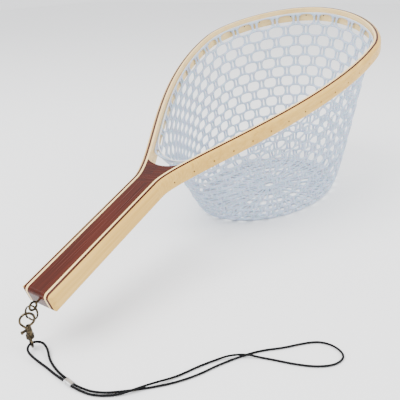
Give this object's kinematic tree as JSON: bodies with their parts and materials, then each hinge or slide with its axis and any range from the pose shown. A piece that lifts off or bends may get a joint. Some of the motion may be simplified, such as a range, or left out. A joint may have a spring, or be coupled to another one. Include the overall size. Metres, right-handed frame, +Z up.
{
  "type": "landing net",
  "caption": "Hand landing net: laminated wooden hoop and handle, deep clear rubber net bag, and a clasp and cord lanyard at the butt",
  "frame": {"origin": "on the surface the net stands on, under the middle of the net without its lanyard", "axes": "+X from the butt towards the hoop's tip, +Z up"},
  "size_m": [0.6036, 0.3573, 0.2415],
  "materials": {
    "core_wood": "gloss varnish over dark hardwood",
    "pale_wood": "gloss varnish",
    "dark_wood": "gloss varnish",
    "light_wood": "gloss varnish",
    "dark_line": "matt",
    "clear_line": "translucent",
    "clear_rubber": "translucent soft rubber",
    "antique_brass": "dark antique plating",
    "crimp_metal": "satin",
    "black_cord": "round braided cord"
  },
  "bodies": {
    "net": {"handle_core": "core_wood", "inner_lamination": "pale_wood", "middle_lamination": "dark_wood", "outer_lamination": "light_wood", "lacing_ties": "dark_line", "rim_line": "clear_line", "net_bag": "clear_rubber", "screw_eye": "antique_brass"},
    "ring": {"split_ring": "antique_brass"},
    "snap": {"snap_body": "antique_brass", "gate_pin": "antique_brass", "swivel_collar": "antique_brass"},
    "gate": {"snap_gate": "antique_brass"},
    "lanyard": {"swivel_eye": "antique_brass", "leader_loop": "black_cord", "lanyard_crimp": "crimp_metal", "wrist_loop": "black_cord"}
  },
  "joints": [
    {"name": "ring_swing", "type": "hinge", "parent": "net", "child": "ring", "pos_m": [-0.28619, 0, 0.04445], "axis": [0, 1, 0], "range_deg": [0, 28]},
    {"name": "snap_swing", "type": "hinge", "parent": "ring", "child": "snap", "pos_m": [-0.28941, 0.0049, 0.03262], "axis": [0, 1, 0], "range_deg": [-28, 0]},
    {"name": "gate_open", "type": "hinge", "parent": "snap", "child": "gate", "pos_m": [-0.29101, 0.00649, 0.02099], "axis": [0.4384, 0.8988, 0], "range_deg": [0, 14], "stiffness_Nm_per_rad": 0.02, "springref_deg": -8.59},
    {"name": "swivel_turn", "type": "hinge", "parent": "snap", "child": "lanyard", "pos_m": [-0.2902, 0.0061, 0.0105], "axis": [0, 0, 1], "continuous": true}
  ],
  "couplings": [
    {"joint": "snap_swing", "follows": "ring_swing", "ratio": -1}
  ]
}
